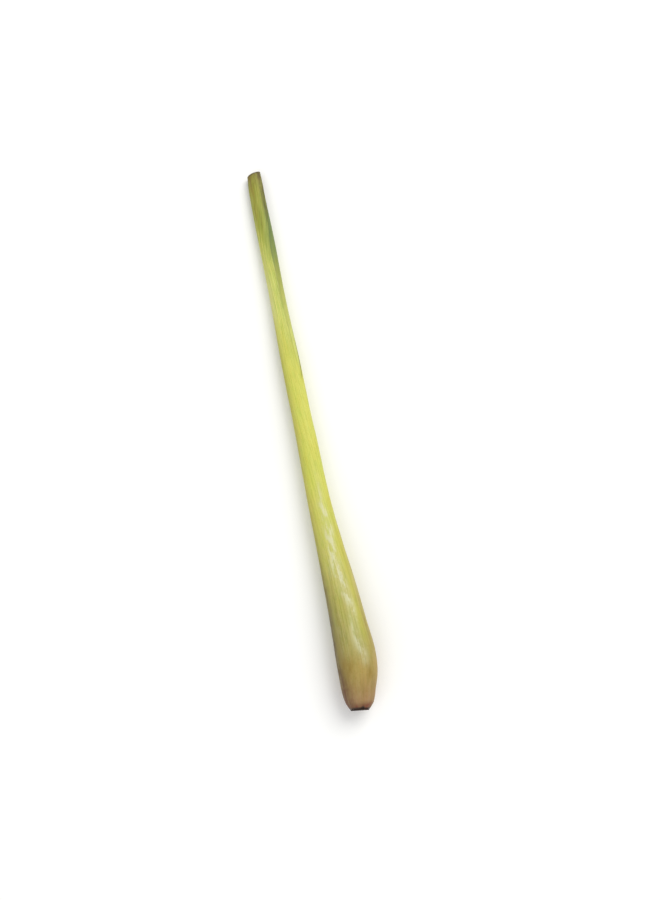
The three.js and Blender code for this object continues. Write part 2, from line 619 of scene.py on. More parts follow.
def new_group(name: str, inputs: dict[str, str],
              outputs: tuple[str, ...]) -> tuple[Wiring, bpy.types.Node, bpy.types.Node]:
    """Starts a shader node group.

    Args:
        name: The group's name.
        inputs: Each input's name and kind: Float or Vector.
        outputs: The names of its outputs, which are all numbers.

    Returns:
        The group's wiring, its input node and its output node.
    """
    tree = bpy.data.node_groups.new(name, "ShaderNodeTree")
    for key, kind in inputs.items():
        tree.interface.new_socket(key, in_out="INPUT", socket_type=f"NodeSocket{kind}")
    for key in outputs:
        tree.interface.new_socket(key, in_out="OUTPUT", socket_type="NodeSocketFloat")
    return Wiring(tree), tree.nodes.new("NodeGroupInput"), tree.nodes.new("NodeGroupOutput")


def fibre_group() -> bpy.types.NodeTree:
    """Streaks that run along the leaf, from four noises stretched along its grain.

    Returns:
        The group.
    """
    wiring, into, out = new_group("fibres", {"Grain": "Vector"}, ("Streak", "Dash", "Fine"))
    flecks = (Fleck(13.0, 420.0), Fleck(30.0, 1500.0), Fleck(90.0, 4200.0, detail=1.0),
              Fleck(130.0, 900.0, roughness=0.6))
    broad, middle, narrow, dash = (fleck.lay(wiring, into.outputs["Grain"]) for fleck in flecks)
    streak = wiring.times(wiring.plus(broad, middle), 0.5)
    fine = wiring.times(wiring.plus(middle, narrow), 0.5)
    for name, value, low, high in (("Streak", streak, 0.34, 0.66), ("Dash", dash, 0.3, 0.7),
                                   ("Fine", fine, 0.34, 0.66)):
        wiring.feed(out.inputs[name], wiring.rise(value, low, high))
    return wiring.tree


def mottle_group() -> bpy.types.NodeTree:
    """Soft clouds, ragged patches and fine grit, each a noise a little drawn out along the leaf.

    Returns:
        The group.
    """
    wiring, into, out = new_group("mottle", {"Grain": "Vector"}, ("Cloud", "Patch", "Grit"))
    for name, fleck, low, high in (
        ("Cloud", Fleck(34.0, 90.0, detail=3.0, roughness=0.6), 0.3, 0.7),
        ("Patch", Fleck(95.0, 330.0, detail=5.0, roughness=0.7), 0.38, 0.62),
        ("Grit", Fleck(900.0, 1300.0, detail=3.0, roughness=0.6), 0.3, 0.7),
    ):
        wiring.feed(out.inputs[name], wiring.rise(fleck.lay(wiring, into.outputs["Grain"]), low, high))
    return wiring.tree


def cut_group() -> bpy.types.NodeTree:
    """The dried edge of a cut: strongest at the cut, and ragged where it fades out along the leaf.

    Returns:
        The group.
    """
    inputs = {"Grain": "Vector", "Cut At": "Float", "Reach": "Float"}
    wiring, into, out = new_group("cut edge", inputs, ("Mask",))
    grain = into.outputs["Grain"]
    gap = wiring.math("ABSOLUTE", wiring.math("SUBTRACT", into.outputs["Cut At"], wiring.along(grain)))
    ragged = Fleck(220.0, 900.0, detail=3.0, roughness=0.6).lay(wiring, grain)
    reach = wiring.times(into.outputs["Reach"], wiring.times(ragged, 1.8, 0.1))
    wiring.feed(out.inputs["Mask"], wiring.rise(gap, reach, 0.0))
    return wiring.tree


@dataclass
class Effects:
    """The node groups that several finishes share, built once."""

    fibres: bpy.types.NodeTree = field(default_factory=fibre_group)
    mottle: bpy.types.NodeTree = field(default_factory=mottle_group)
    cut: bpy.types.NodeTree = field(default_factory=cut_group)


# Finishes ------------------------------------------------------------------------------------


class Tone(Enum):
    """The skin's colours, from the butt to the tip."""

    RUST = (100, 68, 46)
    ROSY_TAN = (167, 133, 94)
    OCHRE = (170, 148, 82)
    KHAKI = (166, 155, 86)
    OLIVE = (178, 171, 88)
    LIME = (198, 194, 90)
    YELLOW_LIME = (207, 207, 99)
    PALE_LEAF = (213, 214, 121)
    LEAF = (207, 209, 113)
    MOSS = (171, 173, 82)
    TIP_OLIVE = (164, 159, 73)
    BLUE_GREEN = (108, 125, 62)
    DULL_BROWN = (104, 92, 50)
    CREAM = (206, 202, 134)


@dataclass(frozen=True)
class Wash:
    """A colour laid over the skin, where an attribute of the mesh says.

    Attributes:
        mask: The attribute.
        colour: The colour laid over it.
        strength: How strongly it covers.
        broken: How far patches and streaks break it up, from 0 to 1.
    """

    mask: str
    colour: Colour
    strength: float
    broken: float


@dataclass(frozen=True)
class Finish:
    """What every finish shares.

    Attributes:
        name: The material's name.
    """

    name: str

    def surface(self, wiring: Wiring, effects: Effects) -> dict[str, object]:
        """The inputs of the surface shader, which each finish has its own of."""
        raise NotImplementedError

    def build(self, effects: Effects) -> bpy.types.Material:
        """Builds the material: a surface shader with the finish's inputs.

        Args:
            effects: The shared node groups.

        Returns:
            The material.
        """
        material = bpy.data.materials.new(self.name)
        material.use_nodes = True
        material.node_tree.nodes.clear()
        wiring = Wiring(material.node_tree)
        shader = wiring.node("BsdfPrincipled", self.surface(wiring, effects))
        wiring.node("OutputMaterial", {"Surface": shader.outputs[0]})
        return material


@dataclass(frozen=True)
class SheathFinish(Finish):
    """Living leaf sheath: green above, tan at its base, finely ribbed, dried brown at its cuts.

    Attributes:
        shades: Its colours along the stalk, each with its distance from the butt.
        washes: Colours laid over those.
        inside: Colour of the leaf's inner face.
        cut: Colour of the dried cut edge.
        cut_reach: How far the drying reaches, in metres.
        cut_cover: How strongly it covers.
        length: The stalk's length in metres.
        drift: How far the clouds shift the colours along the stalk, as a share of its length.
        steady: Between these shares of the length the shift grows from nothing to its full size.
        green: What the greener clouds multiply the colour by.
        warm: What the warmer patches multiply it by.
        dark: What the dark streaks and specks multiply it by.
        pale: What the pale streaks multiply it by.
        dash_green: What the short greenish dashes multiply it by.
        dash_rosy: What the short rosy ones multiply it by.
        furrow: How strongly the furrows take the dark streaks' colour.
        streaks: How strongly dark, pale and thin streaks show.
        clouds: How strongly clouds, patches and specks show.
        roughness: The skin's roughness, before its streaks.
        rougher: What streaks add to that, and what patches add.
        relief: Strength and depth in metres of its finest relief.
    """

    shades: tuple[tuple[float, Tone], ...]
    washes: tuple[Wash, ...]
    inside: Colour = (204, 206, 146)
    cut: Colour = (88, 78, 52)
    cut_reach: float = 0.0016
    cut_cover: float = 0.9
    length: float = 0.330
    drift: float = 0.07
    steady: Span = (0.01, 0.16)
    green: Colour = (0.90, 0.98, 0.84)
    warm: Colour = (1.0, 0.93, 0.78)
    dark: Colour = (0.74, 0.76, 0.50)
    pale: Colour = (1.12, 1.11, 1.34)
    dash_green: Colour = (0.86, 0.93, 0.80)
    dash_rosy: Colour = (1.07, 1.03, 1.03)
    furrow: float = 0.34
    streaks: tuple[float, float, float] = (0.42, 0.55, 0.34)
    clouds: tuple[float, float, float] = (0.7, 0.55, 0.30)
    roughness: float = 0.42
    rougher: Span = (0.10, 0.10)
    relief: Span = (0.55, 0.0001)

    def skin(self, wiring: Wiring, grain: Socket, mottle: Sockets, fibres: Sockets) -> Socket:
        """The skin's colour before its washes: the shades, streaked and furrowed.

        Args:
            wiring: The material's wiring.
            grain: The grain map.
            mottle: The mottle group's outputs.
            fibres: The fibre group's outputs.

        Returns:
            The colour.
        """
        cloud, patch, grit = mottle["Cloud"], mottle["Patch"], mottle["Grit"]
        streak, dash, fine = fibres["Streak"], fibres["Dash"], fibres["Fine"]
        place = wiring.math("DIVIDE", wiring.along(grain), self.length)
        shift = wiring.times(wiring.plus(cloud, streak), self.drift / 2, -self.drift / 2)
        shift = wiring.times(shift, wiring.rise(place, *self.steady))
        stops = tuple((at * MM / self.length, tone.value) for at, tone in self.shades)
        colour = wiring.ramp(wiring.plus(place, shift), stops)
        colour = wiring.mix(wiring.rise(wiring.attribute("inward"), 0.04, 0.5), colour, paint(*self.inside))

        lively = wiring.attribute("lively")
        dark, pale, thin = self.streaks
        clouded, patched, specked = self.clouds
        deep = wiring.times(wiring.attribute("furrow"), self.furrow)
        deep = wiring.plus(deep, wiring.times(wiring.rise(streak, 0.48, 0.08), dark))
        light = wiring.times(wiring.rise(streak, 0.52, 0.92), pale)
        narrow = wiring.times(wiring.rise(fine, 0.45, 0.05), thin)
        tints = (
            (wiring.times(cloud, clouded), self.green),
            (wiring.times(deep, lively), self.dark),
            (wiring.times(light, lively), self.pale),
            (wiring.times(narrow, lively), self.dark),
            (wiring.times(wiring.rise(dash, 0.45, 0.0), lively), self.dash_green),
            (wiring.times(wiring.rise(dash, 0.55, 1.0), lively), self.dash_rosy),
            (wiring.times(patch, patched), self.warm),
            (wiring.times(wiring.rise(grit, 0.55, 0.95), specked), self.dark),
        )
        for share, tint in tints:
            colour = wiring.mix(share, colour, (*tint, 1.0), "MULTIPLY")
        return colour

    def surface(self, wiring: Wiring, effects: Effects) -> dict[str, object]:
        """The inputs of the surface shader.

        Args:
            wiring: The material's wiring.
            effects: The shared node groups.

        Returns:
            Each input's name, and its value or what feeds it.
        """
        grain = wiring.grain()
        mottle = wiring.group(effects.mottle, {"Grain": grain}).outputs
        fibres = wiring.group(effects.fibres, {"Grain": grain}).outputs
        streak, fine = fibres["Streak"], fibres["Fine"]
        colour = self.skin(wiring, grain, mottle, fibres)
        texture = wiring.plus(wiring.times(mottle["Patch"], 0.6), wiring.times(streak, 0.4))
        texture = wiring.rise(texture, 0.18, 0.82)
        for wash in self.washes:
            worn = wiring.times(texture, wash.broken, 1 - wash.broken)
            cover = wiring.times(wiring.times(wiring.attribute(wash.mask), worn), wash.strength)
            colour = wiring.mix(cover, colour, paint(*wash.colour))
        dried = wiring.group(effects.cut, {"Grain": grain, "Cut At": self.length, "Reach": self.cut_reach})
        colour = wiring.mix(wiring.times(dried.outputs["Mask"], self.cut_cover), colour, paint(*self.cut))

        relief = wiring.plus(wiring.times(fine, 0.6), wiring.times(streak, 0.4))
        relief = wiring.plus(relief, wiring.times(mottle["Grit"], 0.25))
        rough = wiring.times(streak, self.rougher[0], self.roughness)
        return {
            "Base Color": colour,
            "Roughness": wiring.times(texture, self.rougher[1], rough),
            "Normal": wiring.bump(relief, *self.relief),
            "Subsurface Weight": 0.10,
            "Subsurface Radius": (0.9, 1.0, 0.35),
            "Subsurface Scale": 0.0010,
            "Specular IOR Level": 0.30,
        }


@dataclass(frozen=True)
class StemFinish(Finish):
    """Cut woody stem: a dried tan face with darker pores, and a brown rim and flank, all set darker partly
    as painted shade on the butt.

    Attributes:
        heart: Colour of the cut face round its middle.
        tan: Its colour farther out.
        rim: Colour of its rim and its pores.
        red: Colour of patches on the flank.
        flank: Colour of the flank.
        pore_cells: How many pores there are to the metre.
        pore_cover: How strongly they show.
    """

    name: str = "cut woody stem"
    # Dark partly as the cut wood's own brown, and partly as painted shade on the butt's face, rim and flank.
    heart: Colour = (150, 116, 80)
    tan: Colour = (112, 80, 54)
    rim: Colour = (38, 26, 18)
    red: Colour = (94, 36, 24)
    flank: Colour = (62, 40, 27)
    pore_cells: float = 1500.0
    pore_cover: float = 0.6

    def surface(self, wiring: Wiring, effects: Effects) -> dict[str, object]:
        """The inputs of the surface shader.

        The attribute out grows from 0 at the heart to 1 at the rim, and goes on past 1 along the flank.

        Args:
            wiring: The material's wiring.
            effects: The shared node groups, of which wood needs none.

        Returns:
            Each input's name, and its value or what feeds it.
        """
        spot = wiring.node("TexCoord").outputs["Object"]
        out = wiring.attribute("out")
        cloud = wiring.noise(spot, 420.0, 4.0, 0.6)
        grit = wiring.noise(spot, 2600.0, 3.0, 0.6)
        ragged = wiring.plus(out, wiring.times(cloud, 0.5, -0.25))
        colour = wiring.mix(wiring.rise(ragged, 0.25, 0.75), paint(*self.heart), paint(*self.tan))
        pores = wiring.node("TexVoronoi", {"Vector": spot, "Scale": self.pore_cells}).outputs["Distance"]
        pore = wiring.times(wiring.rise(pores, 0.34, 0.10), wiring.rise(out, 1.0, 0.85))
        colour = wiring.mix(wiring.times(pore, self.pore_cover), colour, paint(*self.rim))
        colour = wiring.mix(wiring.rise(ragged, 0.74, 0.95), colour, paint(*self.rim))
        flank = wiring.mix(wiring.rise(grit, 0.35, 0.65), paint(*self.flank), paint(*self.rim))
        flank = wiring.mix(wiring.rise(cloud, 0.50, 0.62), flank, paint(*self.red))
        colour = wiring.mix(wiring.rise(out, 1.08, 1.22), colour, flank)
        return {"Base Color": colour, "Roughness": 0.78, "Normal": wiring.bump(grit, 0.6, 0.0002)}


@dataclass(frozen=True)
class LeafFinish(Finish):
    """Young leaves seen on their cut ends: pale flesh between green skins, moist and a little dried.

    Attributes:
        flesh: Colour inside the leaf.
        skin: Colour of its two faces.
        dried: Colour of its dried fibres.
        dryness: How strongly those show.
    """

    name: str = "young rolled leaf"
    flesh: Colour = (196, 200, 128)
    skin: Colour = (116, 134, 66)
    dried: Colour = (140, 112, 66)
    dryness: float = 0.5

    def surface(self, wiring: Wiring, effects: Effects) -> dict[str, object]:
        """The inputs of the surface shader.

        The flesh shows where the attribute inward is neither 0 nor 1, by 4 times inward times what is
        left of it to 1.

        Args:
            wiring: The material's wiring.
            effects: The shared node groups.

        Returns:
            Each input's name, and its value or what feeds it.
        """
        fine = wiring.group(effects.fibres, {"Grain": wiring.grain()}).outputs["Fine"]
        inward = wiring.attribute("inward")
        middle = wiring.times(wiring.times(inward, wiring.math("SUBTRACT", 1.0, inward)), 4.0)
        colour = wiring.mix(wiring.rise(middle, 0.02, 0.4), paint(*self.skin), paint(*self.flesh))
        colour = wiring.mix(wiring.times(fine, self.dryness), colour, paint(*self.dried))
        return {"Base Color": colour, "Roughness": 0.5, "Normal": wiring.bump(fine, 0.4, 0.0001)}


@dataclass(frozen=True)
class TableFinish(Finish):
    """Pale matt table top with faint clouds.

    Attributes:
        dim: Its darker colour.
        bright: Its paler one.
        cells: How many clouds there are to the metre.
    """

    name: str = "pale table"
    dim: Colour = (250, 250, 249)
    bright: Colour = (253, 253, 252)
    cells: float = 6.0

    def surface(self, wiring: Wiring, effects: Effects) -> dict[str, object]:
        """The inputs of the surface shader.

        Args:
            wiring: The material's wiring.
            effects: The shared node groups, of which the table needs none.

        Returns:
            Each input's name, and its value or what feeds it.
        """
        cloud = wiring.noise(wiring.node("TexCoord").outputs["Object"], self.cells, 2.0)
        colour = wiring.mix(wiring.rise(cloud, 0.3, 0.7), paint(*self.dim), paint(*self.bright))
        return {"Base Color": colour, "Roughness": 0.9, "Specular IOR Level": 0.1}


# The stalk's pieces --------------------------------------------------------------------------


def place_piece(piece: bpy.types.Object, node: str, material: bpy.types.Material) -> None:
    """Dresses a piece, puts it on the body and lets it stand for its solid."""
    piece.data.materials.append(material)
    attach(piece, Body.ROOT.value)
    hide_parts(node)
    log.info("%s: %d faces, in place of %s", piece.name, len(piece.data.polygons), node)


def worn_edge(s: np.ndarray, first: float, last: float, wear: float) -> np.ndarray:
    """How far a cut edge is rounded off: a quarter circle within one wear of either end."""
    near = np.clip(1 - np.minimum(s - first, last - s) / wear, 0, 1)
    return wear * (1 - np.sqrt(np.clip(1 - near**2, 0, 1)))


@dataclass(frozen=True)
class Spot:
    """A blemish on the skin.

    Attributes:
        at: Its distance from the butt.
        angle: Its angle round the section.
        length: How far it reaches along the stalk.
        width: How far it reaches round it, in degrees.
        strength: How strong it is at most.
    """

    at: float
    angle: float
    length: float
    width: float
    strength: float = 1.0

    def mask(self, s: np.ndarray, angle: np.ndarray) -> np.ndarray:
        """How strong the blemish is at each point: the product of two bell curves."""
        return self.strength * bell(s - self.at, self.length) * bell(apart(angle, self.angle), self.width)


@dataclass(frozen=True)
class Zone:
    """A long stretch of the skin, strongest at one angle.

    Attributes:
        strength: How strong it is at most.
        angle: Its angle round the section.
        width: How wide its bell curve is round the section, or between which angles off it fades.
        rise: Between these distances from the butt it comes up, where they are given.
        fall: Between these it goes down again.
    """

    strength: float
    angle: float
    width: float | Span
    rise: Span | None = None
    fall: Span | None = None

    def mask(self, s: np.ndarray, angle: np.ndarray) -> np.ndarray:
        """How strong the zone is at each point.

        Args:
            s: Distances from the butt.
            angle: Angles round the section.

        Returns:
            Its strength, times its fading round the section, times its rise, times its fall.
        """
        off = apart(angle, self.angle)
        round_it = 1 - ease(off, *self.width) if isinstance(self.width, tuple) else bell(off, self.width)
        risen = ease(s, *self.rise) if self.rise else 1.0
        left = 1 - ease(s, *self.fall) if self.fall else 1.0
        return self.strength * round_it * risen * left


def laid(marks: tuple[Spot | Zone, ...], s: np.ndarray, angle: np.ndarray) -> np.ndarray:
    """The sum of what several marks lay on the skin, held between 0 and 1."""
    return np.clip(sum(mark.mask(s, angle) for mark in marks), 0, 1)


@dataclass(kw_only=True)
class Sheath:
    """What both leaf sheaths share: ribs, thin margins, and an outside that turns into an inside.

    Attributes:
        outline: The stalk's outer form.
        skin: How far the inside is let down so that the surface has room for its relief.
        margin: Thickness of its papery margins.
        taper: Angle over which it thins down to them.
        past: The free margin stays thin this much farther than it covers the other.
        wear: How far its cut edges are rounded off.
        ribs: How many ribs run along it.
        rib_depth: How deep the furrows between them are.
        rib_power: How narrow those furrows are.
        rib_strength: How plain they are along the stalk.
        girth: Its mean girth, which sets the scale of its grain.
        grain_turn: Its grain starts this many girths round, so that no two sheaths have the same.
        seed: Makes its ribs its own.
        columns: How many points run along its outside and its inside.
    """

    outline: Outline
    skin: float = 0.12
    margin: float = 0.2
    taper: float = 16.0
    past: float = 4.0
    wear: float = 0.08
    ribs: int = 58
    rib_depth: float = 0.042
    rib_power: float = 1.6
    rib_strength: Steps = Steps(0.2, ((0.8, 24, 120),))
    girth: float = 46.0
    grain_turn: int = 0
    seed: int = 3
    columns: tuple[int, int] = (300, 60)

    def furrow(self, s: np.ndarray, share: np.ndarray) -> np.ndarray:
        """The furrows between ribs.

        It is 1 less the size of the sine of the ribs' count round the sheath, raised to a power. A
        short wave shifts the count, so that ribs are broad or narrow, a long one lets them wander, and
        a third makes some of them fainter. All of them are faint near the foot.

        Args:
            s: Distances from the butt.
            share: Share of the way round the sheath.

        Returns:
            0 on a rib's crest and up to 1 in a furrow.
        """
        shift = 0.24 * Wave(500.0, 16, self.seed, 0.045)(s, share)
        shift = shift + 0.4 * Wave(90.0, 14, self.seed + 1, 0.16)(s, share)
        faint = np.clip(0.6 + 0.4 * Wave(120.0, 14, self.seed + 2, 0.06)(s, share), 0.1, 1)
        furrow = (1 - np.abs(np.sin(np.pi * (self.ribs * share + shift)))) ** self.rib_power
        return faint * self.rib_strength(s) * furrow

    def body(self, turn: np.ndarray, wrap: np.ndarray) -> np.ndarray:
        """1 in the sheath's body, falling to 0 at both its margins.

        The free margin stays thin as far as it lies over the covered one, and a little farther.

        Args:
            turn: Angle back round from the free margin.
            wrap: Angle from that margin to the other one.

        Returns:
            Shares of the sheath's full thickness.
        """
        covering = np.maximum(wrap - 360 + self.past, 0)
        return ease(turn - covering, 0, self.taper) * ease(wrap - turn, 0, self.taper)

    def assemble(self, s: np.ndarray, points: np.ndarray) -> Shell:
        """Gathers points into a shell with their grain and side.

        Args:
            s: Distances of the rows, as a column.
            points: The shell's points.

        Returns:
            The shell.
        """
        outside, inside = self.columns
        share = there_and_back(outside, inside) + 0 * s
        inward = np.repeat((0.0, 1.0), (outside, inside))[None, :] + 0 * s
        grain = np.stack((s + 0 * share, share * self.girth + self.grain_turn * self.girth), axis=-1)
        return Shell(points, grain, inward, outside)

    def bare(self, name: str) -> bpy.types.Object:
        """The sheath as a mesh object that carries its masks."""
        shell = self.shell()
        share = shell.grain[..., 1] / self.girth - self.grain_turn
        return shell_object(name, shell, self.masks(shell.grain[..., 0], share))


@dataclass(kw_only=True)
class OuterSheath(Sheath):
    """The outermost leaf sheath, rolled once round the stalk with its margins overlapping low down.

    Attributes:
        margins: Where its two margins run.
        first: Where it starts, on the stem's collar.
        foot: Its thickness where it grows from the collar.
        thickness: Its thickness, fleshy in the bulb.
        tear_at: Angle of the tear in its foot.
        tear: How far back and how wide that tear goes.
        fray: How deep the foot's edge is frayed.
        ragged: How ragged the cut is at the tip.
        sway: Mean depth of the long undulations, and the heights of the long and the short ones.
        wrinkle: How deep the foot's wrinkles are.
        wrinkle_reach: They die out between these distances from where it starts.
        curl: How far the papery top margin curls up.
        curl_reach: That curl dies out within this angle.
        foot_relief: What share of the relief the foot's very edge has.
        torn_reach: How far up the foot the skin gives way to the tear.
        cut_reach: How far down from the tip the skin gives way to its ragged cut.
        wax_and_highlight_at: Angle of the band where whitish wax and a painted highlight lie thickest.
        wax_and_highlight_width: How wide that band is, in degrees.
        wax_and_highlight_strength: How strong the wax and the painted highlight are along the stalk.
        lively: How strongly streaks show along the stalk.
        wax: The rest of the wax.
        greens_and_shade: Greener stretches, and painted shade on the right half of the upper stalk.
        khaki_and_shade: Dull khaki stretches of the bulb, and painted shade along the stalk's left side and
            left edge.
        warm: Warm stretches of the left side, which also lay painted shade on that side.
        straw: Bleached stretches, held back at the very left edge so that the edge stays darker as painted
            shade.
        lime: Yellower stretches of the bulb.
        tan: Dry stretches of the bulb.
        blush: Reddish stretches of the foot.
        stains: Ochre blemishes.
        bruises: Reddish brown ones.
    """

    margins: Margins
    first: float = 0.9
    foot: float = 0.35
    thickness: Along = Along(((0, 0.9), (6, 1.5), (25, 2.2), (60, 1.5), (120, 0.9), (200, 0.62), (330, 0.5)))
    tear_at: float = 104.0
    tear: Span = (0.9, 8.0)
    fray: float = 0.06
    ragged: float = 0.05
    sway: tuple[float, float, float] = (0.06, 0.03, 0.02)
    wrinkle: float = 0.03
    wrinkle_reach: Span = (1.5, 12.0)
    curl: float = 0.05
    curl_reach: float = 7.0
    foot_relief: float = 0.4
    torn_reach: float = 3.5
    cut_reach: float = 2.0
    wax_and_highlight_at: Along = Along(((22, 118), (36, 109), (50, 108), (62, 105), (78, 97), (112, 102), (150, 100)))
    wax_and_highlight_width: Steps = Steps(13, ((6, 50, 84),))
    wax_and_highlight_strength: Steps = Steps(0.8, ((0.2, 44, 64),))
    lively: Steps = Steps(0.5, ((0.4, 20, 44), (-0.25, 44, 110), (1.65, 200, 285)))
    wax: tuple[Zone, ...] = (Zone(0.3, 80, 36, (56, 84), (90, 130)), Zone(0.25, 56, 26, (24, 36), (44, 72)))
    # A darker green band and patch on the upper right of the upper stalk: painted shade.
    greens_and_shade: tuple[Spot | Zone, ...] = (
        Zone(0.38, 124, 28, (190, 225), (250, 275)), Spot(251, 106, 15, 26, 0.26),
    )
    # Dull khaki on the bulb, and painted shade on the left flank and along the left edge.
    khaki_and_shade: tuple[Zone, ...] = (
        Zone(0.85, 14, 32, fall=(34, 128)), Zone(0.3, 44, 20, fall=(14, 34)),
        Zone(0.2, 0, (18, 42), fall=(228, 250)),
    )
    # Warmer, darker colour along the left side: the leaf's warm tone, and painted shade.
    warm: tuple[Zone, ...] = (Zone(1.0, 0, (20, 72), (70, 120), (200, 245)),)
    straw: tuple[Spot | Zone, ...] = (
        Zone(1.0, 0, (28, 84), (222, 248), (250, 290)), Spot(66, 158, 13, 24, 0.36),
    )
    lime: tuple[Zone, ...] = (Zone(1.0, 128, 20, (26, 54), (84, 140)),)
    tan: tuple[Zone, ...] = (Zone(1.0, 176, 28, (8, 24), (95, 140)),)
    blush: tuple[Zone, ...] = (Zone(0.7, 0, (28, 88), fall=(6, 34)),)
    stains: tuple[Spot, ...] = (
        Spot(24, 60, 7.0, 20), Spot(20, 126, 5.0, 12), Spot(12, 142, 4.0, 8), Spot(36, 40, 9.0, 12),
        Spot(322, 52, 7.0, 9), Spot(312, 66, 8.0, 7), Spot(326, 122, 4.0, 14), Spot(303, 48, 10.0, 6),
        Spot(296, 80, 7.0, 6), Spot(52, 152, 12.0, 8), Spot(16, 250, 6.0, 20), Spot(60, 300, 14.0, 14),
    )
    bruises: tuple[Spot, ...] = (
        Spot(1.8, 110, 1.8, 16), Spot(2.4, 130, 1.2, 10), Spot(3.2, 146, 1.2, 5), Spot(2.0, 72, 1.1, 8),
        Spot(5.0, 210, 3.0, 18), Spot(328, 136, 3.0, 12), Spot(4.0, 330, 2.6, 16), Spot(328, 40, 2.0, 14),
    )

    def rows(self) -> np.ndarray:
        """Distances of the sections, as a column, closest together at the butt and the tip."""
        last = self.outline.length
        ends = ((8, 30), (40, 44), (180, 76), (last - 16, 74), (last - 1.2, 18), (last, 12))
        return runs(self.first, ends)

    def depth(self, s: np.ndarray, turn: np.ndarray) -> np.ndarray:
        """How deep the outside lies, before its relief, this far back round from the top margin."""
        return self.margins.sink * self.margins.overlapping(s) * ease(turn, *self.margins.sink_turn)

    def wall(self, s: np.ndarray) -> np.ndarray:
        """Its thickness away from its margins, thin where it grows from the collar."""
        return self.foot + (self.thickness(s) - self.foot) * ease(s, self.first, self.first + 4)

    def relief(self, s: np.ndarray, share: np.ndarray, turn: np.ndarray) -> np.ndarray:
        """How much lower the living surface lies than the plain outline, in millimetres.

        It adds the furrows, long shallow undulations, wrinkles round the foot that die out within a
        centimetre, and a little curl of the papery top margin, which stands up. At the foot's very edge
        the first three are shallower.

        Args:
            s: Distances from the butt.
            share: Share of the way round the sheath.
            turn: Angle back round from the top margin.

        Returns:
            Depths.
        """
        mean, long, short = self.sway
        sway = mean + long * Wave(55.0, 16, 8, 0.35)(s, share) + short * Wave(14.0, 16, 9, 0.07)(s, share)
        at_foot = 1 - ease(s - self.first, *self.wrinkle_reach)
        wrinkle = self.wrinkle * at_foot * (1 + Wave(2.2, 18, 13, 0.10)(s, share))
        curl = self.curl * (1 - ease(turn, 0, self.curl_reach)) * (1 + Wave(9.0, 8, 21)(s))
        settled = self.foot_relief + (1 - self.foot_relief) * ease(s - self.first, 0, 2)
        return (self.rib_depth * self.furrow(s, share) + sway + wrinkle) * settled - curl

    def angle(self, s: np.ndarray, share: np.ndarray) -> np.ndarray:
        """The angle at this share of the way round from the covered margin to the top one."""
        return self.margins.free(s) - self.margins.wrap(s) * (1 - share)

    def torn_back(self, angle: np.ndarray, share: np.ndarray) -> np.ndarray:
        """How far the foot's edge is torn back: a bell curve round the tear, and a fine frayed wave."""
        back, width = self.tear
        frayed = self.fray * (1.4 + Wave(0.012, 24, 30)(share))
        return back * bell(apart(angle, self.tear_at), width) + np.maximum(frayed, 0)

    def cut_short(self, share: np.ndarray) -> np.ndarray:
        """How far the tip's cut falls short round its edge: a fine wave and a slow one."""
        return self.ragged * (2 + Wave(0.011, 40, 31)(share) + Wave(0.2, 6, 32)(share))

    def shell(self) -> Shell:
        """The sheath as rows of points.

        Its outside lies at its depth, its relief and its worn edges. Its inside lies one wall deeper,
        and never less than a margin under the outside. Both ends are then torn and cut.

        Returns:
            The rows.
        """
        s = self.rows()
        last = self.outline.length
        share = there_and_back(*self.columns)
        n = self.columns[0]
        wrap = self.margins.wrap(s)
        turn = wrap * (1 - share)
        angle = self.angle(s, share)
        wear = worn_edge(s, self.first, last, self.wear)

        out = self.depth(s, turn[:, :n]) + self.relief(s, share[:, :n], turn[:, :n]) + wear
        body = self.body(turn[:, n:], wrap)
        inside = self.margin + (self.wall(s) - self.margin) * body
        inside = np.maximum(inside, self.depth(s, turn[:, n:]) + self.margin) + self.skin - wear
        place = s + self.torn_back(angle, share) * (1 - ease(s, self.first, self.first + self.torn_reach))
        place = place - self.cut_short(share) * ease(s, last - self.cut_reach, last)
        return self.assemble(s, self.outline.point(place, angle, np.concatenate((out, inside), axis=1)))

    def wax_and_highlight(self, s: np.ndarray, angle: np.ndarray) -> np.ndarray:
        """How thick the whitish wax lies, with a painted highlight along its band: most along one wandering
        band, and a little beside it.
        """
        band = self.wax_and_highlight_at(s) + 6 * Wave(26.0, 8, 61)(s)
        thick = bell(apart(angle, band), self.wax_and_highlight_width(s)) * ease(s, 19, 34) * (1 - ease(s, 108, 148))
        return np.clip((thick + laid(self.wax, s, angle)) * self.wax_and_highlight_strength(s), 0, 1)

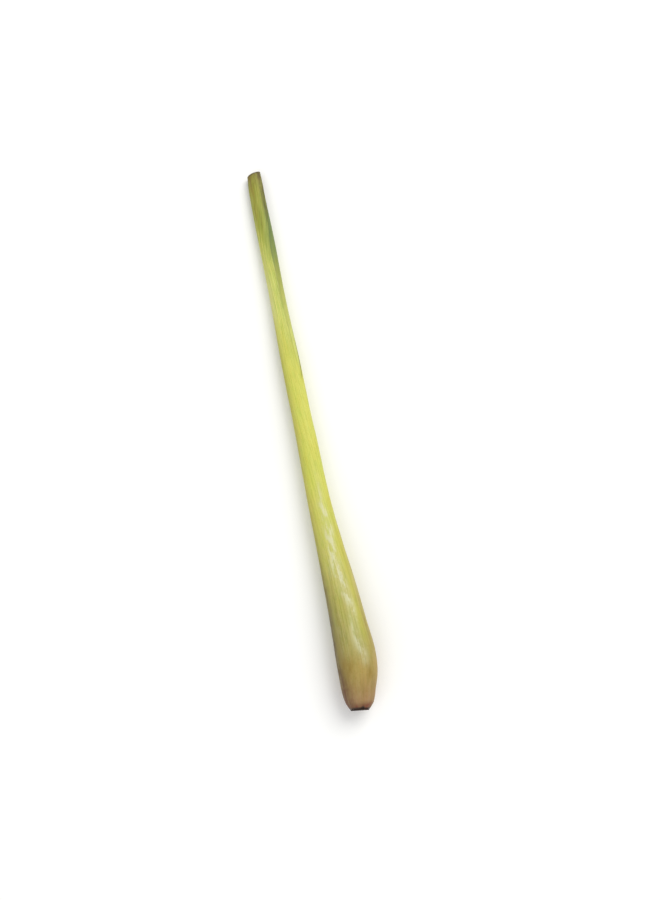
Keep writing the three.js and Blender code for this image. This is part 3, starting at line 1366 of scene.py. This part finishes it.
    def masks(self, s: np.ndarray, share: np.ndarray) -> dict[str, np.ndarray]:
        """Where each wash of colour lies on the sheath, from 0 to 1.

        Args:
            s: Distances from the butt.
            share: Share of the way round the sheath.

        Returns:
            A mask for each wash, under its name.
        """
        angle = self.angle(s, share)
        girth = np.radians(self.margins.wrap(s)) * self.outline.half_width(s)
        from_edge = np.minimum(1 - share, share) * girth
        beside = 1 - ease((1 - share) * girth, 0, 3.5)
        near_tip = (0.35 * ease(angle, 60, 80) + 0.65 * ease(angle, 98, 122)) * bell(s - 290, 20)
        green = near_tip + 0.5 * beside * ease(s, 256, 284) * (1 - ease(s, 300, 318))
        return {
            "furrow": self.furrow(s, share),
            "lively": self.lively(s),
            "wax_and_highlight": self.wax_and_highlight(s, angle),
            # The green mask: greener colour near the margins and the tip, and painted shade on the right
            # half.
            "green": np.clip(green + laid(self.greens_and_shade, s, angle), 0, 1),
            # Khaki colour, and painted shade on the left side.
            "khaki_and_shade": laid(self.khaki_and_shade, s, angle),
            "warm": laid(self.warm, s, angle),
            # Halved at the very left edge, which leaves that edge darker: painted shade.
            "straw": laid(self.straw, s, angle) * (0.5 + 0.5 * ease(apart(angle, 0), 16, 46)),
            # Dark olive on the right side near the tip: darker pigment, and painted shade.
            "olive_tint_and_shade": ease(angle, 98, 130) * ease(s, 288, 306),
            "parched": ease(s, 317, 328),
            "lime": laid(self.lime, s, angle),
            "tan": laid(self.tan, s, angle) * (1 - 0.4 * ease(s, 40, 64)),
            "blush": 0.22 * (1 - ease(s, 4, 24)) + laid(self.blush, s, angle),
            "scar": 1 - ease(s, self.first + 0.1, self.first + 0.6 + 0.8 * bell(apart(angle, 72), 30)),
            # Dark line along both margins: dried brown edges, and a painted shadow line.
            "dry_edge_and_shadow": (1 - ease(from_edge, 0.05, 0.5)) * (0.4 + 0.6 * ease(s, 290, 312)),
            "stain": laid(self.stains, s, angle),
            "bruise": laid(self.bruises, s, angle),
        }

    def build(self, material: bpy.types.Material) -> None:
        """Makes the sheath in its finish and puts it in place."""
        place_piece(self.bare("outer_leaf_sheath"), "outer_sheath", material)


@dataclass(kw_only=True)
class InnerSheath(Sheath):
    """The next sheath in, which shows where the outer one's margins part and at the cut tip.

    Attributes:
        outer: The sheath round it.
        first: Where it starts, inside the bulb.
        recess: How far it ends short of the outer sheath's cut.
        fit: The clear space under the outer sheath.
        dip: How much deeper it lies in the middle of the opening than at its edges.
        shown_share: It is up from the middle of the opening to this share of the way to its edge.
        shown_past: It is down again this many degrees past that edge.
        shown_from: It comes up as the opening grows between these sizes.
        nest_delay: It leaves the covered margin its room until the opening has grown by this much.
        nest_turn: Between these angles from the opening's middle it leaves that room.
        thickness: Its thickness.
        slit_at: Angle where its own margins meet, hidden at the back.
        slit: How far they stand apart there.
    """

    outer: OuterSheath
    wear: float = 0.06
    grain_turn: int = 2
    first: float = 8.0
    recess: float = 0.35
    fit: float = 0.1
    dip: float = 0.10
    shown_share: float = 0.9
    shown_past: float = 12.0
    shown_from: Span = (-14.0, 8.0)
    nest_delay: float = 6.0
    nest_turn: Span = (36.0, 70.0)
    thickness: Along = Along((
        (8, 0.7), (16, 1.5), (28, 2.1), (60, 1.6), (120, 0.9), (200, 0.6), (330, 0.42),
    ))
    slit_at: float = -30.0
    slit: float = 10.0

    def rows(self) -> np.ndarray:
        """Distances of the sections, as a column, closest together where the sheath shows."""
        last = self.outline.length - self.recess
        return runs(self.first, ((170, 56), (last - 12, 100), (last - 1, 12), (last, 10)))

    def depth(self, s: np.ndarray, angle: np.ndarray) -> np.ndarray:
        """How deep its outside lies.

        Away from the opening it keeps under the outer sheath's full wall, and under both of its margins
        where they overlap. In the opening it comes up to just under the margins.

        Args:
            s: Distances from the butt.
            angle: Angles round the section.

        Returns:
            Depths.
        """
        outer, margins = self.outer, self.outer.margins
        opening = margins.opening(s)
        from_middle = apart(angle, margins.middle(s))
        half = np.maximum(opening, 0) / 2
        shown = 1 - ease(from_middle, half * self.shown_share, half + self.shown_past)
        shown = shown * ease(opening, *self.shown_from)
        room = outer.skin + self.fit
        nest = np.maximum(margins.sink + outer.margin - outer.thickness(s), 0)
        nest = nest * margins.overlapping(s, self.nest_delay) * (1 - ease(from_middle, *self.nest_turn))
        covered = outer.thickness(s) + room + nest
        bare = outer.margin + room + margins.sink * margins.overlapping(s)
        bare = bare + self.dip * (1 - ease(from_middle, 0, half + 1))
        return covered + (bare - covered) * shown

    def shell(self) -> Shell:
        """The sheath as rows of points.

        Its outside lies at its depth with its furrows, its inside one thickness deeper, and both are
        worn at the ends.

        Returns:
            The rows.
        """
        s = self.rows()
        share = there_and_back(*self.columns)
        n = self.columns[0]
        wrap = 360 - self.slit
        angle = self.slit_at + self.slit / 2 + wrap * share + 0 * s
        wear = worn_edge(s, self.first, self.outline.length - self.recess, self.wear)
        depth = self.depth(s, angle)
        out = depth[:, :n] + self.rib_depth * self.furrow(s, share[:, :n]) + wear
        body = self.body(wrap * share[:, n:], wrap)
        inside = depth[:, n:] + self.margin + (self.thickness(s) - self.margin) * body - wear
        return self.assemble(s, self.outline.point(s, angle, np.concatenate((out, inside), axis=1)))

    def masks(self, s: np.ndarray, share: np.ndarray) -> dict[str, np.ndarray]:
        """Where each wash of colour lies on the sheath.

        Args:
            s: Distances from the butt.
            share: Share of the way round the sheath.

        Returns:
            A mask for each wash, under its name.
        """
        return {
            "furrow": self.furrow(s, share), "lively": 0.9 + 0.6 * ease(s, 260, 300),
            "wax_and_highlight": 0.25 + 0 * s, "green": bell(s - 282, 20),
        }

    def build(self, material: bpy.types.Material) -> None:
        """Makes the sheath in its finish and puts it in place."""
        place_piece(self.bare("inner_leaf_sheath"), "inner_sheath", material)


@dataclass
class RolledLeaves:
    """Young leaves, rolled tight inside the sheaths.

    Attributes:
        outline: The stalk's outer form.
        inner: The sheath round them.
        first: Where they start, past the stem's end.
        recess: How far they end short of the cut.
        room: The clear space inside the sheaths, and how much more there is where margins overlap.
        overlap_delay: That extra space stays until the opening has grown by this much.
        turns: How often the leaf goes round.
        core: The narrow core, in turns of the roll.
        leaf: The leaf's share of the roll's pitch. The rest is air.
        start: Angle of its free edge.
        crush: How far a slow wave crushes it, as a share of its pitch.
        proud: How far some turns stand out of the cut.
        wear: How far its cut edges are rounded off.
        girth: How long its section is when unrolled, which sets the scale of its grain.
        columns: How many points run along one of its faces.
    """

    outline: Outline
    inner: InnerSheath
    first: float = 43.0
    recess: float = 0.6
    room: Span = (0.45, 0.3)
    overlap_delay: float = 12.0
    turns: float = 4.8
    core: float = 1.1
    leaf: float = 0.78
    start: float = 230.0
    crush: float = 0.06
    proud: float = 0.16
    wear: float = 0.05
    girth: float = 70.0
    columns: int = 300

    def shell(self) -> Shell:
        """The roll as rows of points.

        The leaf is a spiral: its depth grows evenly with the turn, by a pitch that fills the space
        inside the inner sheath down to a narrow core. A slow wave crushes it a little, and another
        leaves some turns standing farther out of the cut than others.

        Returns:
            The rows.
        """
        last = self.outline.length - self.recess
        s = runs(self.first, ((last - 10, 60), (last, 14)))
        outer, (clear, more) = self.inner.outer, self.room
        start = outer.thickness(s) + self.inner.thickness(s) + clear
        start = start + more * outer.margins.overlapping(s, self.overlap_delay)
        pitch = (self.outline.half_height(s) - start) / (self.turns + self.core)
        share = there_and_back(self.columns, self.columns)
        inward = np.repeat((0.0, 1.0), self.columns)[None, :]
        turn = self.turns * share
        crush = self.crush * Wave(0.45, 10, 77)(turn, s / 400)
        wear = worn_edge(s, self.first, last, self.wear) * (1 - 2 * inward)
        depth = start + pitch * (turn + self.leaf * inward + crush) + wear
        points = self.outline.point(s, self.start + 360 * turn + 0 * s, depth)
        points[..., 0] -= self.proud * (1 + Wave(1.1, 8, 78)(turn)) * ease(s, last - 4, last)
        grain = np.stack((s + 0 * share, share * self.girth + 0 * s), axis=-1)
        return Shell(points, grain, inward + 0 * s, self.columns)

    def build(self, material: bpy.types.Material) -> None:
        """Makes the roll in its finish and puts it in place."""
        piece = shell_object("rolled_young_leaves", self.shell(), {})
        place_piece(piece, "rolled_leaves", material)


@dataclass
class StemBase:
    """The woody stem: its cut face, its collar, and the cone that runs up into the bulb.

    Attributes:
        outline: The stalk's outer form.
        outer: The sheath that grows from its collar.
        face_at: The cut face's mean distance from the butt.
        rings: How many slow rings the face has, and how high they are.
        rough: How high its rough grain is.
        hollow: How deep it is round the heart.
        torn: How far its rim is torn.
        collar: How far the collar shows.
        shoulder: Where it has narrowed to pass inside the sheath.
        end: Where the stem tapers out.
        fit: The clear space under the sheath.
        cone: How deep it lies in the bulb.
        grain_step: How many degrees round it make a millimetre of its grain.
        columns: How many points run round it.
    """

    outline: Outline
    outer: OuterSheath
    face_at: float = 0.08
    rings: Span = (4.3, 0.05)
    rough: float = 0.06
    hollow: float = 0.22
    torn: float = 0.07
    collar: float = 0.76
    shoulder: float = 0.88
    end: float = 40.0
    fit: float = 0.12
    cone: Along = Along(((1.9, 1.9), (4, 2.7), (10, 4.4), (20, 5.4), (30, 7.2), (40, 9.3)))
    grain_step: float = 9.0
    columns: int = 160

    def face(self, angle: np.ndarray) -> tuple[np.ndarray, np.ndarray, np.ndarray]:
        """The cut face, as rings from its heart to its rim.

        Its height is slow rings, a rough grain, a shallow hollow round the heart and a torn rim.

        Args:
            angle: Angles round the stem, as a row.

        Returns:
            Distances from the butt, depths, and the share of the way from the heart to the rim.
        """
        out = np.concatenate((np.linspace(0.04, 0.9, 28), np.linspace(0.92, 1.0, 7)))[:, None] + 0 * angle
        left, up = out * np.cos(np.radians(angle)), out * np.sin(np.radians(angle))
        count, height = self.rings
        rings = height * np.cos(2 * np.pi * count * out) * (1 - out**6)
        rough = self.rough * Wave(0.11, 40, 51, 0.11)(left, up) * (1 - 0.5 * out)
        hollow = self.hollow * (1 - ease(out, 0.55, 0.95))
        torn = self.torn * ease(out, 0.86, 1.0) * Wave(0.05, 14, 52)(angle / 360)
        s = self.face_at + np.clip(rings + rough + hollow + torn, -self.face_at, 0.5)
        reach = float(self.outline.half_width(0.0))
        return s, reach * (1 - out) + 0.12 * ease(out, 0.96, 1.0), out

    def flank(self, angle: np.ndarray) -> tuple[np.ndarray, np.ndarray, np.ndarray]:
        """The collar's side, its shoulder and the cone behind it.

        Args:
            angle: Angles round the stem, as a row.

        Returns:
            Distances from the butt, depths, and numbers over 1 that grow away from the rim.
        """
        near = runs(0.3, ((self.collar, 5), (self.shoulder, 7)))
        s = np.concatenate((near, runs(1.5, ((8, 12),)), runs(9, ((self.end, 28),)))) + 0 * angle
        bulge = 0.05 + 0.04 * Wave(0.04, 16, 53, 0.2)(angle / 360, s / 8)
        outer = self.outer
        under = np.maximum(outer.wall(s), outer.margins.sink + outer.margin) + outer.skin + self.fit
        cone = under + np.maximum(self.cone(s) - under, 0) * ease(s, 2, 7)
        return s, bulge + (cone - bulge) * ease(s, self.collar, self.shoulder), 1.05 + s / 4

    def build(self, material: bpy.types.Material) -> None:
        """Makes the stem in its finish and puts it in place.

        Its rings of points run from the heart of the face over the rim and up the cone, and a fan of
        triangles round one more point closes each end.

        Args:
            material: Its finish.
        """
        angle = np.linspace(0, 360, self.columns, endpoint=False)[None, :]
        s, depth, out = (np.concatenate(pair) for pair in zip(self.face(angle), self.flank(angle)))
        points = self.outline.point(s, angle, depth)
        rows, count = len(s), s.size
        first = np.arange(self.columns)
        following = (first + 1) % self.columns
        start = np.stack((following, first, np.full(self.columns, count)), axis=1)
        end = np.stack((first, following, np.full(self.columns, count + 1)), axis=1)
        end[:, :2] += count - self.columns
        vertices = np.concatenate((points.reshape(-1, 3), [points[0].mean(axis=0), points[-1].mean(axis=0)]))
        grain = np.stack((s, (angle + 0 * s) / self.grain_step), axis=-1).reshape(-1, 2)
        grain = np.concatenate((grain, [[0.0, 0.0], [self.end, 0.0]]))
        values = {"out": np.concatenate((out.ravel(), [0.0, out.max()]))}
        faces = [quads(rows, self.columns), start, end]
        piece = make_object("woody_stem_base", vertices, faces, grain, values)
        place_piece(piece, "stem_base", material)


# The table, the light and the camera ---------------------------------------------------------


def aim(holder: bpy.types.Object, place: Place, look: Vector) -> None:
    """Puts a light or a camera at its place in the scene, looking along a direction."""
    holder.location = place
    holder.rotation_euler = look.to_track_quat("-Z", "Y").to_euler()
    bpy.context.scene.collection.objects.link(holder)


@dataclass(frozen=True)
class Softbox:
    """One soft light.

    Attributes:
        name: Its name.
        place: Where it stands, in metres.
        size: Its side, in metres.
        power: Its power, in watts.
        tint: Its colour.
    """

    name: str
    place: Place
    size: float
    power: float
    tint: Colour = (1.0, 1.0, 1.0)

    def build(self) -> None:
        """Adds the light, turned to the middle of the stalk."""
        lamp = bpy.data.lights.new(self.name, "AREA")
        lamp.shape = "SQUARE"
        lamp.size = self.size
        lamp.energy = self.power
        lamp.color = self.tint
        aim(bpy.data.objects.new(self.name, lamp), self.place, -Vector(self.place))


@dataclass(frozen=True)
class Studio:
    """A pale table top, soft light and the camera.

    Attributes:
        camera_at: Where the camera stands, in metres.
        look: The direction that it looks in.
        lens: Its lens, in millimetres.
        sensor: The long side of its sensor, in millimetres.
        nearest: The camera sees nothing nearer than this, in metres.
        table: The table top's half size, in metres.
        drop: How far the table top lies under the stalk, in metres.
        boxes: The lights.
        ambient: Strength of the even light from all round.
    """

    camera_at: Place = (-0.16465, 0.02052, 0.72277)
    look: Place = (0.2040, -0.0401, -0.9781)
    lens: float = 50.0
    sensor: float = 36.0
    nearest: float = 0.01
    table: float = 4.0
    drop: float = 0.00002
    boxes: tuple[Softbox, ...] = (
        Softbox("key", (1.15, -1.40, 2.10), 2.2, 47.0, (1.0, 0.985, 0.95)),
        Softbox("fill", (-1.5, 1.3, 1.8), 2.2, 16.0, (0.93, 0.97, 1.0)),
    )
    ambient: float = 0.62

    def build(self, finish: bpy.types.Material) -> None:
        """Adds the table in its finish, the lights, the even light and the camera."""
        self.add_table(finish)
        for box in self.boxes:
            box.build()
        self.add_ambient()
        self.add_camera()

    def add_ambient(self) -> None:
        """Adds the even white light from all round."""
        world = bpy.data.worlds.new("studio")
        world.use_nodes = True
        background = world.node_tree.nodes["Background"]
        background.inputs[0].default_value = (1.0, 1.0, 1.0, 1.0)
        background.inputs[1].default_value = self.ambient
        bpy.context.scene.world = world
        bpy.context.scene.view_settings.view_transform = "Standard"

    def add_camera(self) -> None:
        """Adds the camera and makes it the scene's."""
        lens = bpy.data.cameras.new("camera")
        lens.lens = self.lens
        lens.sensor_fit = "VERTICAL"
        lens.sensor_height = self.sensor
        lens.clip_start = self.nearest
        camera = bpy.data.objects.new("camera", lens)
        aim(camera, self.camera_at, Vector(self.look))
        bpy.context.scene.camera = camera

    def add_table(self, finish: bpy.types.Material) -> None:
        """Adds the flat table top, just under the stalk."""
        half = self.table
        corners = ((-half, -half), (half, -half), (half, half), (-half, half))
        mesh = bpy.data.meshes.new("table_top")
        mesh.from_pydata([(x, y, -self.drop) for x, y in corners], [], [(0, 1, 2, 3)])
        table = bpy.data.objects.new("table_top", mesh)
        bpy.context.scene.collection.objects.link(table)
        mesh.materials.append(finish)


# The whole -----------------------------------------------------------------------------------

OUTER_FINISH = SheathFinish(
    name="outer sheath skin",
    shades=(
        (0, Tone.RUST), (5, Tone.ROSY_TAN), (20, Tone.OCHRE), (38, Tone.KHAKI), (62, Tone.OLIVE),
        (92, Tone.LIME), (130, Tone.YELLOW_LIME), (205, Tone.YELLOW_LIME), (240, Tone.PALE_LEAF),
        (270, Tone.LEAF), (300, Tone.MOSS), (330, Tone.TIP_OLIVE),
    ),
    washes=(
        # Dark khaki: the bulb's own dull colour, and painted shade on the left side.
        Wash("khaki_and_shade", (97, 81, 47), 1.0, 0.3),
        # Warm, darker tone on the left side: warm colour, and painted shade.
        Wash("warm", (172, 152, 80), 0.34, 0.4),
        Wash("straw", (236, 228, 168), 0.68, 0.4),
        Wash("lime", (188, 186, 72), 0.55, 0.4),
        Wash("tan", (178, 150, 96), 0.55, 0.35),
        Wash("blush", (112, 68, 50), 0.76, 0.6),
        Wash("stain", (138, 114, 44), 0.68, 0.55),
        Wash("bruise", (122, 52, 36), 0.7, 0.4),
        # Whitish wax, and a painted highlight along the wandering band on the upper right.
        Wash("wax_and_highlight", (216, 215, 180), 0.74, 0.8),
        # Darker green: the leaf's own green, and painted shade on the right half.
        Wash("green", (112, 132, 62), 0.78, 0.35),
        # Dark olive near the tip's right side: darker pigment, and painted shade.
        Wash("olive_tint_and_shade", (86, 80, 42), 0.85, 0.5),
        # Dried margins, and a painted shadow line along them.
        Wash("dry_edge_and_shadow", (98, 88, 48), 0.8, 0.3),
        Wash("parched", (104, 92, 50), 0.6, 0.85),
        Wash("scar", (42, 27, 19), 0.98, 0.12),
    ),
)
INNER_FINISH = SheathFinish(
    name="inner sheath skin",
    shades=(
        # The stops from 218 mm to the tip are set darker, partly as painted shade on the right side where
        # this sheath shows.
        (0, Tone.CREAM), (185, Tone.YELLOW_LIME), (218, Tone.LEAF), (258, Tone.MOSS),
        (284, Tone.BLUE_GREEN), (300, Tone.BLUE_GREEN), (314, Tone.DULL_BROWN), (330, Tone.DULL_BROWN),
    ),
    washes=(Wash("wax_and_highlight", (190, 200, 160), 0.4, 0.8), Wash("green", (104, 128, 64), 0.45, 0.6)),
)


def main() -> None:
    """Builds the studio and the stalk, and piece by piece."""
    logging.basicConfig(level=logging.INFO, format="%(name)s: %(message)s")
    effects = Effects()
    Studio().build(TableFinish().build(effects))
    outline = Outline()
    outer = OuterSheath(outline=outline, margins=Margins())
    inner = InnerSheath(outline=outline, outer=outer, ribs=50, girth=42.0, seed=43)
    outer.build(OUTER_FINISH.build(effects))
    inner.build(INNER_FINISH.build(effects))
    RolledLeaves(outline, inner).build(LeafFinish().build(effects))
    StemBase(outline, outer).build(StemFinish().build(effects))


if __name__ == "__main__":
    main()
